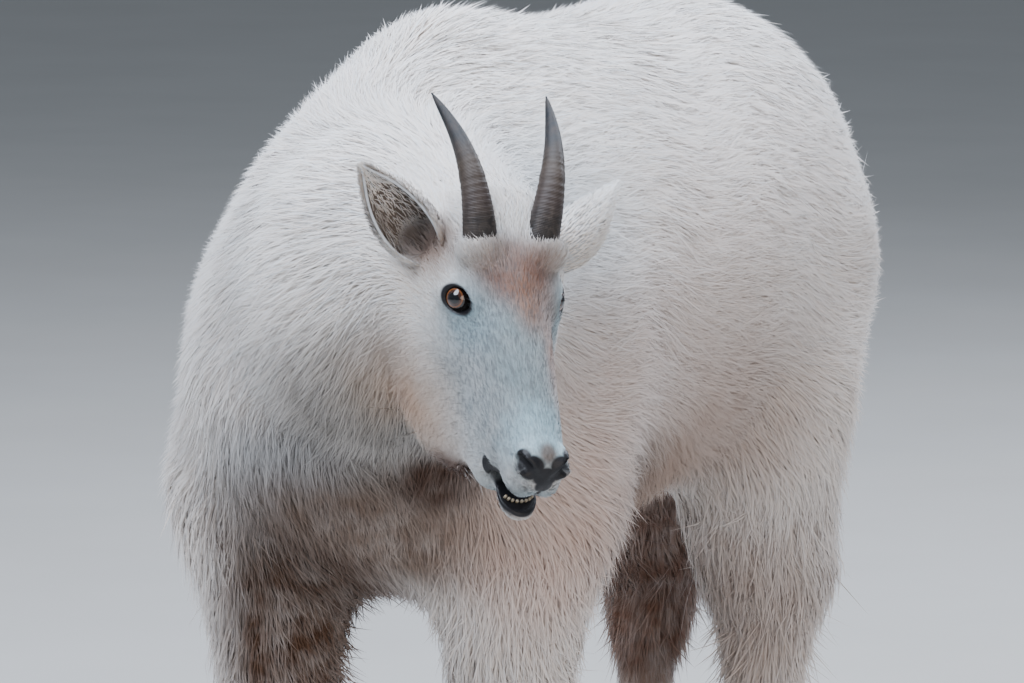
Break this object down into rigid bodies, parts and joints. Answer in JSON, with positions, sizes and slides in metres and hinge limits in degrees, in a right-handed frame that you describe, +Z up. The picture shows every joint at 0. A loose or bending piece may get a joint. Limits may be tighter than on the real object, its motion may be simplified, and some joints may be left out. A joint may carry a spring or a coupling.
{
  "type": "mountain goat figure",
  "caption": "Life-size still model of an adult mountain goat standing on cloven hooves, with a long shaggy coat, slim horns and its head turned to its left.",
  "frame": {"origin": "the middle of the outline seen from above, on the floor that the hooves stand on", "axes": "-Y is forward along the body, +X is the animal's left side, +Z is up"},
  "size_m": [0.6332, 1.1402, 0.925],
  "materials": {
    "coat": "matte",
    "face_fur": "matte",
    "nose_leather": "satin",
    "horn": "satin",
    "hoof": "matte",
    "eye": "gloss",
    "tooth": "satin"
  },
  "bodies": {
    "root": {"dewclaw_fore_left_inner": "hoof", "dewclaw_fore_left_outer": "hoof", "dewclaw_fore_right_inner": "hoof", "dewclaw_fore_right_outer": "hoof", "dewclaw_hind_left_inner": "hoof", "dewclaw_hind_left_outer": "hoof", "dewclaw_hind_right_inner": "hoof", "dewclaw_hind_right_outer": "hoof", "ear_left": "coat", "ear_right": "coat", "eye_left": "eye", "eye_right": "eye", "head": "face_fur", "hoof_fore_left_inner": "hoof", "hoof_fore_left_outer": "hoof", "hoof_fore_right_inner": "hoof", "hoof_fore_right_outer": "hoof", "hoof_hind_left_inner": "hoof", "hoof_hind_left_outer": "hoof", "hoof_hind_right_inner": "hoof", "hoof_hind_right_outer": "hoof", "horn_left": "horn", "horn_right": "horn", "jaw": "face_fur", "leg_fore_left": "coat", "leg_fore_right": "coat", "leg_hind_left": "coat", "leg_hind_right": "coat", "neck": "coat", "nose": "nose_leather", "shin_fore_left": "coat", "shin_fore_right": "coat", "shin_hind_left": "coat", "shin_hind_right": "coat", "tail": "coat", "teeth_lower": "tooth", "torso": "coat"}
  },
  "joints": []
}
